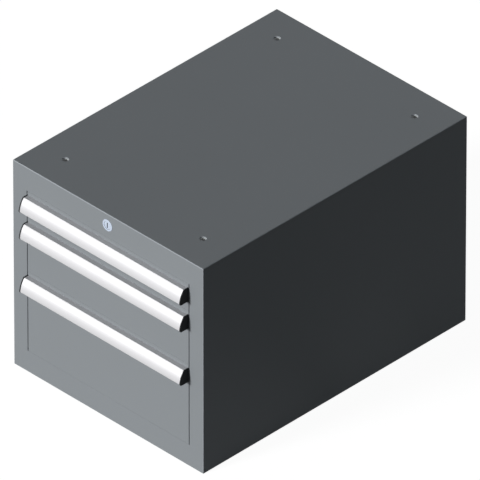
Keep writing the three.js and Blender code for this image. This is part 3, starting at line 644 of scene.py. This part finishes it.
class UNIT_OT_trays(bpy.types.Operator):
    """Paints the drawer trays and presses the beads for dividers into their side walls"""
    bl_idname = "drawer_unit.trays"
    bl_label = "Trays"

    def execute(self, context):
        values = finish_settings()
        paint = powder_coat("Tray powder coat", tuple(values.paint), variation=0.045,
                            roughness=values.paint_roughness + 0.05)
        for drawer in DRAWERS:
            dress("drawer_tray_" + drawer, paint, bevel=0.25 * MM, segments=1)
            self.add_beads(drawer, paint, values)
        return {"FINISHED"}

    def add_beads(self, drawer, paint, values):
        """Upright half-round beads, evenly spaced along both side walls inside the tray."""
        depth, half_width, steps = 0.55 * MM, 1.3 * MM, 6
        free_below, free_above, free_ends = 4.0 * MM, 5.0 * MM, 12.0 * MM
        inside = opening(drawer + "_drawer_interior")
        wall = inside[1].x + values.tray_clearance
        low, high = inside[0].z + free_below, inside[1].z - free_above
        length = inside[1].y - inside[0].y
        count = math.floor((length - free_ends) / values.bead_spacing)
        start = inside[0].y + (length - count * values.bead_spacing) / 2
        angles = [math.pi * step / steps for step in range(steps + 1)]
        arc = [(math.cos(angle), math.sin(angle)) for angle in angles]
        build = Build()
        for side in (-1.0, 1.0):
            for index in range(count + 1):
                y = start + index * values.bead_spacing
                outline = [(side * (wall - depth * out), y + half_width * along) for along, out in arc]
                build.prism(outline, low, high, "Z")
        build.finish("tray_beads_" + drawer, paint, "drawer_" + drawer, "drawer_paint")


class UNIT_OT_handles(bpy.types.Operator):
    """Finishes the handle bars and their end caps"""
    bl_idname = "drawer_unit.handles"
    bl_label = "Handles"

    def execute(self, context):
        values = finish_settings()
        bar = anodised("Handle aluminium", tuple(values.handle), roughness=0.34)
        cap = moulded("End cap plastic", tuple(values.cap), roughness=0.62, grain_scale=2200.0,
                      gloss=0.15)
        for drawer in DRAWERS:
            dress("handle_profile_" + drawer, bar, bevel=values.edge)
            for side in SIDES:
                dress("handle_cap_%s_%s" % (drawer, side), cap, bevel=values.edge * 0.8, segments=3)
        return {"FINISHED"}


class UNIT_OT_lock(bpy.types.Operator):
    """Finishes the lock and its yoke, and adds the shutter inside the key way"""
    bl_idname = "drawer_unit.lock"
    bl_label = "Lock"

    def execute(self, context):
        values = finish_settings()
        low, high = corners("lock_plug")
        centre = Vector((0.0, low.y, (low.z + high.z) / 2))
        chrome = turned_chrome("Lock chrome", tuple(values.chrome), tuple(centre))
        dress("lock_body", chrome, bevel=values.edge * 0.5)
        dress("lock_plug", chrome, bevel=values.edge * 0.3)
        zinc = zinc_plate("Lock works zinc", tuple(values.zinc))
        for node in ("lock_nut", "lock_cam", "locking_yoke"):
            dress(node, zinc, bevel=values.edge * 0.5)
        for level in ("lower", "upper"):
            for side in SIDES:
                dress("yoke_guide_%s_%s" % (level, side), zinc, bevel=values.edge * 0.4)
        self.make_shutter(centre, values)
        return {"FINISHED"}

    def make_shutter(self, centre, values):
        """A sprung shutter, set back a little from the mouth of the key way."""
        dark = moulded("Key way shutter", tuple(values.shutter), roughness=0.4, grain_scale=3000.0,
                       gloss=0.4)
        half_width, half_height = 1.0 * MM, 4.7 * MM
        set_back, thickness = 1.2 * MM, 1.0 * MM
        left, right = centre.x - half_width, centre.x + half_width
        foot, head = centre.z - half_height, centre.z + half_height
        front = centre.y + set_back
        build = Build()
        build.prism([(left, foot), (right, foot), (right, head), (left, head)], front, front + thickness)
        build.finish("lock_shutter", dark, "lock", "lock_chrome", bevel=0.1 * MM)


class UNIT_OT_runners(bpy.types.Operator):
    """Finishes the rails, carriages and rollers, and adds their rivet heads and screws"""
    bl_idname = "drawer_unit.runners"
    bl_label = "Runners"

    def execute(self, context):
        values = finish_settings()
        zinc = zinc_plate("Runner zinc", tuple(values.zinc))
        nylon = moulded("Roller nylon", tuple(values.nylon), roughness=0.45, grain_scale=900.0, gloss=0.4)
        steel = zinc_plate("Fastener zinc", scaled(values.zinc, 0.85))
        sheet_edge, tread_edge = 0.3 * MM, 0.6 * MM
        for drawer in DRAWERS:
            for side in SIDES:
                dress("cabinet_rail_%s_%s" % (drawer, side), zinc, bevel=sheet_edge, segments=1)
                dress("carriage_%s_%s" % (drawer, side), zinc, bevel=sheet_edge)
            for seat in SEATS:
                rivets = Build()
                for side in SIDES:
                    node = "roller_%s_%s_%s" % (seat, drawer, side)
                    dress(node, nylon, bevel=tread_edge)
                    self.add_rivets(rivets, node)
                rivets.finish("rivets_%s_%s" % (seat, drawer), steel, "rollers_%s_%s" % (seat, drawer),
                              "zinc_steel")
            self.add_screws(drawer, steel)
        return {"FINISHED"}

    def add_rivets(self, build, node):
        """A low rivet head on each end of an axle."""
        low, high = corners(node)
        middle = (low + high) / 2
        for x, way in ((low.x, -1.0), (high.x, 1.0)):
            build.turned(RIVET_HEAD, (way, 0.0, 0.0), (x, middle.y, middle.z))

    def add_screws(self, drawer, steel):
        """A pan-head screw in the upper and lower foot of each bracket of a drawer's rails."""
        from_front, from_rear, from_edge = 34.0 * MM, 53.0 * MM, 5.0 * MM
        build = Build()
        for side, way in (("right", -1.0), ("left", 1.0)):
            low, high = corners("cabinet_rail_%s_%s" % (drawer, side))
            wall = high.x if side == "right" else low.x
            for y in (low.y + from_front, high.y - from_rear):
                for z in (low.z + from_edge, high.z - from_edge):
                    build.turned(SCREW_HEAD, (way, 0.0, 0.0), (wall, y, z))
        build.finish("bracket_screws_" + drawer, steel, "housing", "zinc_steel")


class UNIT_PT_panel(bpy.types.Panel):
    """Lists the unit's settings and steps in the sidebar"""
    bl_label = "Drawer unit"
    bl_idname = "UNIT_PT_panel"
    bl_space_type = "VIEW_3D"
    bl_region_type = "UI"
    bl_category = "Drawer unit"

    def draw(self, context):
        layout = self.layout
        for group in (finish_settings(), stage_settings()):
            for name in group.__annotations__:
                layout.prop(group, name)
        for step in STEPS:
            layout.operator(step.bl_idname)


STEPS = (UNIT_OT_stage, UNIT_OT_housing, UNIT_OT_trays, UNIT_OT_handles, UNIT_OT_lock, UNIT_OT_runners)
CLASSES = (FinishSettings, StageSettings, *STEPS, UNIT_PT_panel)


def register():
    for item in CLASSES:
        bpy.utils.register_class(item)
    bpy.types.Scene.drawer_unit_finish = PointerProperty(type=FinishSettings)
    bpy.types.Scene.drawer_unit_stage = PointerProperty(type=StageSettings)


def unregister():
    del bpy.types.Scene.drawer_unit_stage
    del bpy.types.Scene.drawer_unit_finish
    for item in reversed(CLASSES):
        bpy.utils.unregister_class(item)


def main():
    register()
    bpy.ops.drawer_unit.stage()
    bpy.ops.drawer_unit.housing()
    bpy.ops.drawer_unit.trays()
    bpy.ops.drawer_unit.handles()
    bpy.ops.drawer_unit.lock()
    bpy.ops.drawer_unit.runners()


if __name__ == "__main__":
    main()
